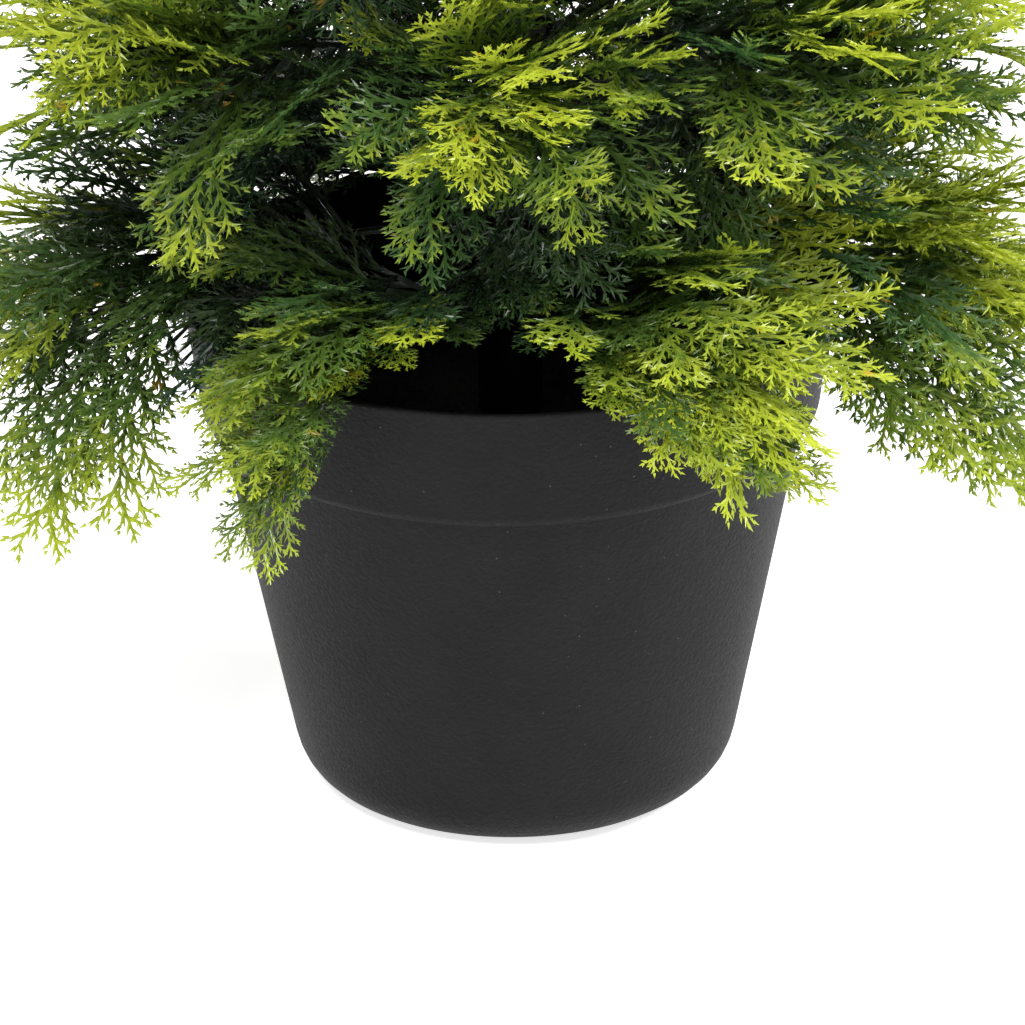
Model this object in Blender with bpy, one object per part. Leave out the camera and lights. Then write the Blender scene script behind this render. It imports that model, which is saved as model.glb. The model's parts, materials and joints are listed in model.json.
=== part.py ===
"""Artificial tabletop cedar tree: a weighted nursery pot, a trunk pole and four tiers of branches that hinge.

Units are metres, +Z is up, and the origin is the centre of the pot's flat foot. -Y is the front.
Cast ballast under a foam plug grips the trunk pole in the pot. Slotted holders on the pole carry the
branches: each branch wire ends in an eye, and a wire ring runs through the eyes of one tier.
"""

import math

import bmesh
import bpy
from mathutils import Matrix, Vector

# --- Clearances ---------------------------------------------------------------------------------
TOUCH_GAP = 0.0003      # between pieces that rest on or fit round each other
SLOT_GAP = 0.0004       # each side of a branch eye in its holder's slot
RING_GAP = 0.0004       # round a hinge ring or pin in its eye, groove or hole

# --- Pot ----------------------------------------------------------------------------------------
POT_HEIGHT = 0.1535
RIM_RADIUS = 0.0950
COLLAR_HEIGHT = 0.0375          # the wide band below the rim
COLLAR_FOOT_RADIUS = 0.0908     # outer radius where the band starts to round inwards
COLLAR_ROUND = 0.0030
BODY_TOP_RADIUS = 0.0862        # outer radius of the tapered body just under the band
BODY_FOOT_RADIUS = 0.0654       # outer radius where the taper meets the rounded foot
FOOT_ROUND = 0.0160
POT_WALL = 0.0022
POT_FLOOR = 0.0030
LIP_ROUND = 0.0009
FOOT_RECESS = 0.0015            # the middle of the underside is raised by this much
FOOT_RING_WIDTH = 0.0100
POT_SIDES = 48

# --- Filling ------------------------------------------------------------------------------------
BALLAST_TOP = 0.0500
PLUG_TOP = POT_HEIGHT - COLLAR_HEIGHT - 0.0020      # the foam plug ends just under the collar

# --- Trunk --------------------------------------------------------------------------------------
POLE_RADIUS = 0.0070
POLE_WALL = 0.0010
POLE_FOOT = 0.0120              # the pole's lower end, inside the ballast
POLE_TOP = POT_HEIGHT + 0.2425
SLEEVE_WALL = 0.0022
ROUND_SIDES = 24

# --- Branch holders and branch wires ------------------------------------------------------------
HINGE_RADIUS = 0.0130           # distance of each branch hinge from the trunk's axis
HOLDER_HEIGHT = 0.0090
HOLDER_EDGE = 0.0052            # holder material outside the hinge ring
RING_WIRE_RADIUS = 0.0008
EYE_RADIUS = 0.0030
EYE_WIDTH = 0.0032
STEM_RADIUS = 0.0015
STEM_SHARE = 0.80               # the wire's length as a share of the branch's reach
STEM_SIDES = 6
STEM_STEPS = 6

# --- Foliage ------------------------------------------------------------------------------------
FOLIAGE_START = 0.0360          # distance of a spray's inner end from the trunk's axis
FOLIAGE_EDGE = 0.0030           # thickness at a spray's outline
LEADER_FOOT = 0.0180            # bare stem below the leader's foliage
LEADER_RADIUS = 0.0300
TREE_HEIGHT = 0.6100

# Each tier: hinge height, branch count, azimuth of the first branch from the front, rise in degrees,
# droop, reach from the trunk's axis, thickness of its sprays and the share of a sector that one fills.
# The hinges stand on the trunk at set heights above the rim, and the lowest tier's reach follows the rim.
TIERS = [
    {"z": POT_HEIGHT + 0.0185, "count": 6, "first": 30.0, "rise": -2.0,
     "droop": 0.22, "reach": RIM_RADIUS + 0.0770, "depth": 0.026, "fill": 0.84},
    {"z": POT_HEIGHT + 0.0745, "count": 6, "first": 0.0, "rise": 18.0,
     "droop": 0.14, "reach": 0.1680, "depth": 0.028, "fill": 0.75},
    {"z": POT_HEIGHT + 0.1365, "count": 5, "first": 36.0, "rise": 36.0,
     "droop": 0.12, "reach": 0.1340, "depth": 0.024, "fill": 0.72},
    {"z": POT_HEIGHT + 0.1985, "count": 4, "first": 45.0, "rise": 54.0,
     "droop": 0.14, "reach": 0.0960, "depth": 0.014, "fill": 0.56},
]

# Linear base colour, roughness and metallic value of each material.
FINISHES = {
    "pot_plastic": ((0.030, 0.030, 0.032), 0.62, 0.0),
    "ballast_cement": ((0.36, 0.35, 0.33), 0.90, 0.0),
    "plug_foam": ((0.006, 0.006, 0.006), 0.75, 0.0),
    "pole_steel": ((0.16, 0.16, 0.17), 0.40, 1.0),
    "sleeve_plastic": ((0.010, 0.010, 0.010), 0.18, 0.0),
    "holder_plastic": ((0.012, 0.012, 0.012), 0.30, 0.0),
    "ring_wire": ((0.30, 0.30, 0.31), 0.35, 1.0),
    "stem_coating": ((0.020, 0.030, 0.014), 0.35, 0.0),
    "foliage": ((0.060, 0.140, 0.030), 0.50, 0.0),
}


def clear_scene():
    """Remove every object of the startup scene."""
    for obj in list(bpy.data.objects):
        bpy.data.objects.remove(obj)


def make_materials():
    """One Principled material for each finish."""
    made = {}
    for name, (colour, roughness, metallic) in FINISHES.items():
        material = bpy.data.materials.new(name)
        material.use_nodes = True
        shader = material.node_tree.nodes["Principled BSDF"]
        shader.inputs["Base Color"].default_value = (*colour, 1.0)
        shader.inputs["Roughness"].default_value = roughness
        shader.inputs["Metallic"].default_value = metallic
        made[name] = material
    return made


def add_object(name, mesh_builder, material, smooth_degrees=None):
    """Link one named object whose mesh holds the geometry of a bmesh."""
    mesh = bpy.data.meshes.new(name)
    mesh_builder.to_mesh(mesh)
    mesh_builder.free()
    mesh.materials.append(material)
    if smooth_degrees is not None:
        mesh.shade_smooth()
        mesh.set_sharp_from_angle(angle=math.radians(smooth_degrees))
    obj = bpy.data.objects.new(name, mesh)
    bpy.context.scene.collection.objects.link(obj)
    return obj


def lathe(profile, sides):
    """Turn a closed outline of (radius, height) points about Z. The outline runs anticlockwise with
    radius to the right and height up, and points at radius 0 become poles."""
    bm = bmesh.new()
    rings = []
    for radius, height in profile:
        if radius < 1e-9:
            rings.append([bm.verts.new((0.0, 0.0, height))])
            continue
        turn = [2 * math.pi * i / sides for i in range(sides)]
        rings.append([bm.verts.new((radius * math.cos(a), radius * math.sin(a), height)) for a in turn])
    for lower, upper in zip(rings, rings[1:] + rings[:1]):
        if len(lower) == 1 and len(upper) == 1:
            continue
        for i in range(sides):
            j = (i + 1) % sides
            corners = [lower[i % len(lower)], lower[j % len(lower)], upper[j % len(upper)], upper[i % len(upper)]]
            bm.faces.new(list(dict.fromkeys(corners)))
    bmesh.ops.recalc_face_normals(bm, faces=bm.faces[:])
    return bm


def arc(centre_radius, centre_height, radius, start, end, steps):
    """Points on a circular arc in the (radius, height) plane, angles in degrees from the +radius side."""
    points = []
    for i in range(steps + 1):
        angle = math.radians(start + (end - start) * i / steps)
        points.append((centre_radius + radius * math.cos(angle), centre_height + radius * math.sin(angle)))
    return points


def body_radius_at(height):
    """Outer radius of the pot's tapered body at a height."""
    top = POT_HEIGHT - COLLAR_HEIGHT
    share = (height - FOOT_ROUND) / (top - FOOT_ROUND)
    return BODY_FOOT_RADIUS + (BODY_TOP_RADIUS - BODY_FOOT_RADIUS) * share


def bore_radius_at(height):
    """Inner radius of the pot at a height above its floor and rounded corner."""
    return body_radius_at(height) - POT_WALL


def pot_profile():
    """Outline of the pot's wall: underside, rounded foot, taper, collar, lip, then down the inside."""
    collar_foot = POT_HEIGHT - COLLAR_HEIGHT
    recess_radius = BODY_FOOT_RADIUS - FOOT_ROUND - FOOT_RING_WIDTH
    inner_round = FOOT_ROUND - POT_WALL
    outer = [(0.0, FOOT_RECESS), (recess_radius, FOOT_RECESS), (recess_radius + FOOT_RECESS, 0.0)]
    outer += arc(BODY_FOOT_RADIUS - FOOT_ROUND, FOOT_ROUND, FOOT_ROUND, -90, 0, 6)
    outer += [(BODY_TOP_RADIUS, collar_foot)]
    outer += arc(COLLAR_FOOT_RADIUS - COLLAR_ROUND, collar_foot + COLLAR_ROUND, COLLAR_ROUND, -70, 0, 3)
    outer += arc(RIM_RADIUS - LIP_ROUND, POT_HEIGHT - LIP_ROUND, LIP_ROUND, 0, 90, 2)
    inner = arc(RIM_RADIUS - POT_WALL + LIP_ROUND, POT_HEIGHT - LIP_ROUND, LIP_ROUND, 90, 180, 2)
    inner += [(COLLAR_FOOT_RADIUS - POT_WALL, collar_foot + COLLAR_ROUND)]
    inner += [(BODY_TOP_RADIUS - POT_WALL, collar_foot)]
    corner = arc(BODY_FOOT_RADIUS - POT_WALL - inner_round, POT_FLOOR + inner_round, inner_round, 0, -90, 4)
    inner += corner + [(0.0, POT_FLOOR)]
    return outer + inner


def ballast_profile():
    """Outline of the cast ballast, which follows the pot's inside and is bored for the pole."""
    pole_bore = POLE_RADIUS + TOUCH_GAP
    floor = POT_FLOOR + TOUCH_GAP
    inner_round = FOOT_ROUND - POT_WALL
    foot = BODY_FOOT_RADIUS - POT_WALL - TOUCH_GAP
    outline = [(0.0, floor)]
    outline += arc(foot - inner_round, floor + inner_round, inner_round, -90, 0, 4)
    outline += [(bore_radius_at(BALLAST_TOP) - TOUCH_GAP, BALLAST_TOP), (pole_bore, BALLAST_TOP)]
    outline += [(pole_bore, POLE_FOOT - TOUCH_GAP), (0.0, POLE_FOOT - TOUCH_GAP)]
    return outline


def plug_profile():
    """Outline of the tapered foam plug that fills the pot above the ballast."""
    bottom = BALLAST_TOP + TOUCH_GAP
    pole_bore = POLE_RADIUS + TOUCH_GAP
    foot = bore_radius_at(bottom) - 2 * TOUCH_GAP
    edge = bore_radius_at(PLUG_TOP) - 2 * TOUCH_GAP
    return [(pole_bore, bottom), (foot, bottom), (edge, PLUG_TOP), (pole_bore, PLUG_TOP)]


def tube_profile(inner, outer, bottom, top):
    """Outline of a plain ring."""
    return [(inner, bottom), (outer, bottom), (outer, top), (inner, top)]


def box_between(low, high):
    """A closed box between two corners."""
    bm = bmesh.new()
    bmesh.ops.create_cube(bm, size=1.0)
    size = [h - l for l, h in zip(low, high)]
    middle = [(l + h) / 2 for l, h in zip(low, high)]
    bmesh.ops.transform(bm, matrix=Matrix.Translation(middle) @ Matrix.Diagonal((*size, 1.0)), verts=bm.verts)
    return bm


def cut_away(obj, cutters):
    """Subtract closed cutter shapes from an object and hide the cutters."""
    for cutter in cutters:
        cutter.hide_render = True
        cutter.display_type = "WIRE"
        step = obj.modifiers.new("cut_" + cutter.name, "BOOLEAN")
        step.operation = "DIFFERENCE"
        step.object = cutter


def make_holder(name, tier, materials):
    """A slotted disc on the pole: a ring groove open at the top and one slot for each branch."""
    half = HOLDER_HEIGHT / 2
    groove = RING_WIRE_RADIUS + RING_GAP
    outer = HINGE_RADIUS + HOLDER_EDGE
    profile = [(POLE_RADIUS + TOUCH_GAP, -half), (outer, -half), (outer, half), (HINGE_RADIUS + groove, half)]
    profile += [(HINGE_RADIUS + groove, -groove), (HINGE_RADIUS - groove, -groove)]
    profile += [(HINGE_RADIUS - groove, half), (POLE_RADIUS + TOUCH_GAP, half)]
    holder = add_object(name, lathe(profile, ROUND_SIDES), materials["holder_plastic"])
    holder.location.z = tier["z"]
    slot_start = HINGE_RADIUS - EYE_RADIUS - SLOT_GAP
    slot_half = EYE_WIDTH / 2 + SLOT_GAP
    cutters = []
    for number, azimuth in enumerate(branch_azimuths(tier), 1):
        low = (slot_start, -slot_half, -HOLDER_HEIGHT)
        high = (outer + HOLDER_EDGE, slot_half, HOLDER_HEIGHT)
        cutter = add_object(f"{name}_slot_{number}", box_between(low, high), materials["holder_plastic"])
        cutter.matrix_world = Matrix.Translation((0, 0, tier["z"])) @ outward(azimuth)
        cutters.append(cutter)
    cut_away(holder, cutters)


def branch_azimuths(tier):
    """Each branch's direction in degrees from the front, towards +X."""
    return [tier["first"] + 360.0 * i / tier["count"] for i in range(tier["count"])]


def outward(azimuth):
    """Rotation that turns +X to a direction given in degrees from the front (-Y) towards +X."""
    return Matrix.Rotation(math.radians(azimuth - 90.0), 4, "Z")


def make_ring(name, tier, materials):
    """The wire ring that runs through the eyes of one tier."""
    sides = 6
    profile = [
        (HINGE_RADIUS + RING_WIRE_RADIUS * math.cos(a), RING_WIRE_RADIUS * math.sin(a))
        for a in (2 * math.pi * i / sides for i in range(sides))
    ]
    ring = add_object(name, lathe(profile, 30), materials["ring_wire"], 60)
    ring.location.z = tier["z"]


def stem_point(tier, share):
    """Centreline of a branch in its own frame: x outwards and z up from the hinge, share 0 to 1."""
    length = tier["reach"] - HINGE_RADIUS
    rise = math.tan(math.radians(tier["rise"]))
    run = length * math.cos(math.radians(max(tier["rise"], 0.0)))
    return Vector((run * share, 0.0, run * (rise * share - tier["droop"] * share * share)))


def stem_slope(tier, share):
    """Angle of the centreline above the horizontal, in radians."""
    step = 0.01
    way = stem_point(tier, share + step) - stem_point(tier, share - step)
    return math.atan2(way.z, way.x)


def eye_mesh():
    """The eye at a branch's root: a short bored cylinder across the branch, centred on the hinge."""
    bm = lathe(tube_profile(RING_WIRE_RADIUS + RING_GAP, EYE_RADIUS, -EYE_WIDTH / 2, EYE_WIDTH / 2), 12)
    bmesh.ops.rotate(bm, cent=(0, 0, 0), matrix=Matrix.Rotation(math.radians(90), 3, "X"), verts=bm.verts)
    return bm


def wire_mesh(points, angles, radius):
    """A round wire with flat ends along points in the XZ plane, turned to each angle."""
    bm = bmesh.new()
    rings = []
    for point, angle in zip(points, angles):
        ring = []
        for i in range(STEM_SIDES):
            turn = 2 * math.pi * (i + 0.5) / STEM_SIDES
            across = Vector((-math.sin(angle) * math.sin(turn), math.cos(turn), math.cos(angle) * math.sin(turn)))
            ring.append(bm.verts.new(point + radius * across))
        rings.append(ring)
    for lower, upper in zip(rings, rings[1:]):
        for i in range(STEM_SIDES):
            j = (i + 1) % STEM_SIDES
            bm.faces.new((lower[i], lower[j], upper[j], upper[i]))
    bm.faces.new(rings[0][::-1])
    bm.faces.new(rings[-1])
    bmesh.ops.recalc_face_normals(bm, faces=bm.faces[:])
    return bm


def join_union(obj, other):
    """Unite a second closed object with the first and hide the second."""
    other.hide_render = True
    other.display_type = "WIRE"
    step = obj.modifiers.new("union_" + other.name, "BOOLEAN")
    step.operation = "UNION"
    step.object = other


def make_stem(name, tier, place, materials):
    """A coated wire with an eye at its root, from the hinge along the branch."""
    first = (RING_WIRE_RADIUS + RING_GAP + EYE_RADIUS) / 2 / (tier["reach"] - HINGE_RADIUS)
    shares = [first + (STEM_SHARE - first) * i / STEM_STEPS for i in range(STEM_STEPS + 1)]
    points = [stem_point(tier, share) for share in shares]
    angles = [stem_slope(tier, share) for share in shares]
    stem = add_object(name, wire_mesh(points, angles, STEM_RADIUS), materials["stem_coating"])
    eye = add_object(name + "_eye", eye_mesh(), materials["stem_coating"])
    stem.matrix_world = place
    eye.matrix_world = place
    join_union(stem, eye)


def make_spray(name, tier, place, materials):
    """The foliage of one branch as a plain petal: flat below, domed above, resting on the wire."""
    along, across = 7, 4
    start = (FOLIAGE_START - HINGE_RADIUS) / (tier["reach"] - HINGE_RADIUS)
    sector = math.tan(math.radians(180.0 / tier["count"]) * tier["fill"])
    bm = bmesh.new()
    lower, upper = [], []
    for i in range(along + 1):
        t = i / along
        share = start + (1.0 - start) * t
        point = stem_point(tier, share)
        angle = stem_slope(tier, share)
        normal = Vector((-math.sin(angle), 0.0, math.cos(angle)))
        half_width = (point.x + HINGE_RADIUS) * min(sector, 1.0) * math.sqrt(1.0 - 0.78 * t ** 4)
        swell = math.sin(math.pi * (0.12 + 0.80 * t))
        low_row, high_row = [], []
        for j in range(across + 1):
            v = 2.0 * j / across - 1.0
            base = point + normal * (STEM_RADIUS + 2 * TOUCH_GAP) + Vector((0.0, half_width * v, 0.0))
            thick = FOLIAGE_EDGE + (tier["depth"] - FOLIAGE_EDGE) * swell * (1.0 - v * v)
            low_row.append(bm.verts.new(base))
            high_row.append(bm.verts.new(base + normal * thick))
        lower.append(low_row)
        upper.append(high_row)
    for i in range(along):
        for j in range(across):
            bm.faces.new((lower[i][j], lower[i][j + 1], lower[i + 1][j + 1], lower[i + 1][j]))
            bm.faces.new((upper[i][j], upper[i + 1][j], upper[i + 1][j + 1], upper[i][j + 1]))
        for j in (0, across):
            bm.faces.new((lower[i][j], lower[i + 1][j], upper[i + 1][j], upper[i][j]))
    for i in (0, along):
        for j in range(across):
            bm.faces.new((lower[i][j], upper[i][j], upper[i][j + 1], lower[i][j + 1]))
    bmesh.ops.recalc_face_normals(bm, faces=bm.faces[:])
    spray = add_object(name, bm, materials["foliage"], 40)
    spray.matrix_world = place


def make_tier(number, tier, materials):
    """A holder, its hinge ring and its branches, each branch as a wire and its foliage."""
    make_holder(f"tier_{number}_holder", tier, materials)
    make_ring(f"tier_{number}_hinge_ring", tier, materials)
    for index, azimuth in enumerate(branch_azimuths(tier), 1):
        hinge = Matrix.Translation((HINGE_RADIUS, 0.0, 0.0))
        place = Matrix.Translation((0, 0, tier["z"])) @ outward(azimuth) @ hinge
        make_stem(f"tier_{number}_branch_{index}_wire", tier, place, materials)
        make_spray(f"tier_{number}_branch_{index}_spray", tier, place, materials)


def leader_hinge_height():
    """Height of the leader's hinge: its eye turns clear of the socket's floor."""
    return POLE_TOP + 2 * TOUCH_GAP + 2 * EYE_RADIUS


def make_leader_socket(materials):
    """A slotted cup on the pole's top that holds the leader's eye and pin."""
    radius = POLE_RADIUS + SLEEVE_WALL
    floor = POLE_TOP + TOUCH_GAP
    hinge = leader_hinge_height()
    top = hinge + EYE_RADIUS
    socket = add_object("leader_socket", lathe([(0.0, floor), (radius, floor), (radius, top), (0.0, top)],
                                               ROUND_SIDES), materials["holder_plastic"])
    slot_half = EYE_WIDTH / 2 + SLOT_GAP
    low = (-2 * radius, -slot_half, hinge - EYE_RADIUS - SLOT_GAP)
    slot = add_object("leader_slot", box_between(low, (2 * radius, slot_half, 2 * top)), materials["holder_plastic"])
    hole = across_pin("leader_hole", RING_WIRE_RADIUS + RING_GAP, 2 * radius, materials["holder_plastic"])
    cut_away(socket, [slot, hole])


def across_pin(name, radius, half_length, material):
    """A straight round bar along Y through the leader's hinge."""
    bm = lathe([(0.0, -half_length), (radius, -half_length), (radius, half_length), (0.0, half_length)], 12)
    bmesh.ops.rotate(bm, cent=(0, 0, 0), matrix=Matrix.Rotation(math.radians(90), 3, "X"), verts=bm.verts)
    pin = add_object(name, bm, material)
    pin.location.z = leader_hinge_height()
    return pin


def make_leader(materials):
    """The tree's top: a hinged upright wire inside a spindle of foliage."""
    make_leader_socket(materials)
    across_pin("leader_pin", RING_WIRE_RADIUS, POLE_RADIUS + SLEEVE_WALL, materials["ring_wire"])
    hinge = leader_hinge_height()
    first = (RING_WIRE_RADIUS + RING_GAP + EYE_RADIUS) / 2
    foliage_foot = hinge + LEADER_FOOT
    stem_top = TREE_HEIGHT - LEADER_RADIUS
    ends = [Vector((0.0, 0.0, first)), Vector((0.0, 0.0, stem_top - hinge))]
    upright = math.radians(90)
    stem = add_object("leader_wire", wire_mesh(ends, [upright, upright], STEM_RADIUS), materials["stem_coating"])
    eye = add_object("leader_wire_eye", eye_mesh(), materials["stem_coating"])
    for piece in (stem, eye):
        piece.location.z = hinge
    join_union(stem, eye)
    bore = STEM_RADIUS + TOUCH_GAP
    bore_top = stem_top + TOUCH_GAP
    steps = 7
    profile = [(bore, foliage_foot)]
    for i in range(steps):
        t = i / steps
        radius = LEADER_RADIUS * (0.35 + 0.65 * math.sin(math.pi * min(1.0, t / 0.5 * 0.5 + 0.12)))
        taper = 1.0 - 0.55 * t
        profile.append((radius * taper, foliage_foot + (TREE_HEIGHT - foliage_foot) * t))
    profile += [(0.0, TREE_HEIGHT), (0.0, bore_top), (bore, bore_top)]
    add_object("leader_spray", lathe(profile, 12), materials["foliage"], 40)


def make_pot_and_trunk(materials):
    """The pot, its filling, the pole and the sleeve that spaces the lowest holder off the foam."""
    add_object("pot", lathe(pot_profile(), POT_SIDES), materials["pot_plastic"], 35)
    add_object("ballast", lathe(ballast_profile(), POT_SIDES // 2), materials["ballast_cement"], 35)
    add_object("foam_plug", lathe(plug_profile(), POT_SIDES // 2), materials["plug_foam"], 35)
    pole = tube_profile(POLE_RADIUS - POLE_WALL, POLE_RADIUS, POLE_FOOT, POLE_TOP)
    add_object("trunk_pole", lathe(pole, ROUND_SIDES), materials["pole_steel"], 35)
    bore = POLE_RADIUS + TOUCH_GAP
    bottom = PLUG_TOP + TOUCH_GAP
    top = TIERS[0]["z"] - HOLDER_HEIGHT / 2 - TOUCH_GAP
    add_object("trunk_sleeve", lathe(tube_profile(bore, bore + SLEEVE_WALL, bottom, top), ROUND_SIDES),
               materials["sleeve_plastic"], 35)


def main():
    """Build the whole tree."""
    clear_scene()
    materials = make_materials()
    make_pot_and_trunk(materials)
    for number, tier in enumerate(TIERS, 1):
        make_tier(number, tier, materials)
    make_leader(materials)


main()
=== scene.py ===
"""Looks of an artificial tabletop cedar in a black nursery pot.

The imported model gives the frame: the pot, the trunk's hardware and the branches that hinge on it. Here the pot
gets its turned shell, every branch gets its coated wire and its fan-shaped sprays of moulded leaves, and every
visible surface gets its finish.
"""

import json
import logging
import math
from collections.abc import Callable
from dataclasses import dataclass, field, replace
from enum import Enum
from functools import partial

import bpy
import numpy as np
from mathutils import Matrix, Vector
from numpy.typing import NDArray


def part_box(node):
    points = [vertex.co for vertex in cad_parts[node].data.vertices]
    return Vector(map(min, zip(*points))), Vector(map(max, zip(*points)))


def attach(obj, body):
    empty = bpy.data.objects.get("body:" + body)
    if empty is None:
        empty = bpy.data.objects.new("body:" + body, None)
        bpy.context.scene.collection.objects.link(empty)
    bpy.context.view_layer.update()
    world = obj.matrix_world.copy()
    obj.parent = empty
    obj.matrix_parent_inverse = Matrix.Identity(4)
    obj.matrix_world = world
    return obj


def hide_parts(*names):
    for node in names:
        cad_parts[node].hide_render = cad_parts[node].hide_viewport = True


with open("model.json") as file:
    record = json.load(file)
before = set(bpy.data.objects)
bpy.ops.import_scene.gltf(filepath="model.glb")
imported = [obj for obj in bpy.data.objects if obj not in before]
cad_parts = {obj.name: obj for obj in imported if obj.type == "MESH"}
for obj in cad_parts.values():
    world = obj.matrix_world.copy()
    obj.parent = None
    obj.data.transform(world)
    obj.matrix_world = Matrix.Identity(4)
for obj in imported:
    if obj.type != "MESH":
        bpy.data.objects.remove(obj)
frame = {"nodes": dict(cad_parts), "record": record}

Floats = NDArray[np.float64]
Ints = NDArray[np.int64]
Mesh = tuple[Floats, Ints]
Random = np.random.Generator
Material = bpy.types.Material
Object = bpy.types.Object
Socket = bpy.types.NodeSocket
Sockets = dict[str | int, object]
Adder = Callable[..., bpy.types.Node]

LOG = logging.getLogger("tabletop_cedar")
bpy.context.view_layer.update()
UP = np.array([0.0, 0.0, 1.0])
GOLDEN_ANGLE = math.pi * (3.0 - math.sqrt(5.0))
WIRE_RADIUS = 0.0016
EYE_RADIUS = 0.0021
EYE_WIRE_RADIUS = 0.0009
SPRAY_LENGTH = 0.082
LEAST_STEP = 1e-6


# --- Colours and materials ---


def linear(srgb: str) -> tuple[float, float, float, float]:
    """Turn an sRGB colour "#RRGGBB" into linear red, green and blue by the sRGB curve, with an alpha of 1."""
    parts = [int(srgb[i : i + 2], 16) / 255.0 for i in (1, 3, 5)]
    return (*(c / 12.92 if c <= 0.04045 else ((c + 0.055) / 1.055) ** 2.4 for c in parts), 1.0)


def per_metre(size_mm: float) -> float:
    """Scale of a pattern on Object coordinates whose features are size_mm across."""
    return 1000.0 / size_mm


def add_node(tree: bpy.types.NodeTree, kind: str, inputs: Sockets | None = None, **settings: object) -> bpy.types.Node:
    """Add one node to a tree with its socket values, links and settings.

    Args:
        tree: The tree of the material or world that takes the node.
        kind: The node's Blender type name after "ShaderNode".
        inputs: Socket names or numbers, each with a constant or with the output socket that feeds it.
        settings: Attribute names and values. "ramp" holds a colour ramp's (position, colour) stops.

    Returns:
        The new node.
    """
    node = tree.nodes.new("ShaderNode" + kind)
    for name, value in settings.items():
        if name != "ramp":
            setattr(node, name, value)
            continue
        stops = node.color_ramp.elements
        while len(stops) < len(value):
            stops.new(1.0)
        for stop, (position, colour) in zip(stops, value):
            stop.position, stop.color = position, colour
    for name, value in (inputs or {}).items():
        if isinstance(value, Socket):
            tree.links.new(value, node.inputs[name])
        else:
            node.inputs[name].default_value = value
    return node


def start_material(name: str) -> tuple[Material, Adder, Socket]:
    """Make an empty node material.

    Args:
        name: The material's name.

    Returns:
        The material, the function that adds a node to it, and its Object coordinate socket.
    """
    material = bpy.data.materials.new(name)
    material.use_nodes = True
    material.node_tree.nodes.clear()
    add = partial(add_node, material.node_tree)
    return material, add, add("TexCoord").outputs["Object"]


@dataclass(frozen=True)
class GrainedPolypropylene:
    """Injection-moulded polypropylene with a spark-eroded grain: matt charcoal, paler at a low angle.

    The grain scatters the highlight, so the eye sees a soft bloom and no reflection. A few pale specks of dust
    sit in the grain.
    """

    colour: str = "#0F0F11"
    worn_colour: str = "#151517"
    dust_colour: str = "#6A6A67"
    grain_mm: float = 1.3
    depth_mm: float = 0.6
    cloud_mm: float = 26.0
    dust_spacing_mm: float = 4.0
    dust_size_mm: float = 0.34
    dust_free_share: float = 0.60
    roughness: float = 0.52

    def material(self) -> Material:
        """Build the material: cloudy charcoal, grain as bump and roughness, and sparse dust."""
        material, add, place = start_material("grained_polypropylene")
        cloud = add("TexNoise", {"Vector": place, "Scale": per_metre(self.cloud_mm), "Detail": 4.0, "Roughness": 0.55})
        grain = add("TexNoise", {"Vector": place, "Scale": per_metre(self.grain_mm), "Detail": 3.0, "Roughness": 0.7})
        ramp = [(0.30, linear(self.colour)), (0.72, linear(self.worn_colour))]
        tint = add("ValToRGB", {"Fac": cloud.outputs["Fac"]}, ramp=ramp)
        cells = add("TexVoronoi", {"Vector": place, "Scale": per_metre(self.dust_spacing_mm), "Randomness": 1.0})
        edge = self.dust_size_mm / self.dust_spacing_mm / 2.0
        near = {"Value": cells.outputs["Distance"], 1: edge * 0.5, 2: edge * 1.5, 3: 1.0, 4: 0.0}
        speck = add("MapRange", near)
        picked = add("SeparateColor", {0: cells.outputs["Color"]})
        chosen = add("Math", {0: picked.outputs[0], 1: self.dust_free_share}, operation="GREATER_THAN")
        dust = add("Math", {0: speck.outputs[0], 1: chosen.outputs[0]}, operation="MULTIPLY")
        colours = {"Factor": dust.outputs[0], "A": tint.outputs["Color"], "B": linear(self.dust_colour)}
        colour = add("Mix", colours, data_type="RGBA")
        bump = add("Bump", {"Strength": 0.8, "Distance": self.depth_mm / 1000.0, "Height": grain.outputs["Fac"]})
        shine = (self.roughness - 0.07, self.roughness + 0.09)
        rough = add("MapRange", {"Value": grain.outputs["Fac"], 1: 0.3, 2: 0.7, 3: shine[0], 4: shine[1]})
        shader = add(
            "BsdfPrincipled",
            {
                "Base Color": colour.outputs["Result"],
                "Roughness": rough.outputs[0],
                "IOR": 1.49,
                "Specular IOR Level": 0.12,
                "Normal": bump.outputs["Normal"],
            },
        )
        add("OutputMaterial", {"Surface": shader.outputs["BSDF"]})
        return material


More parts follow.
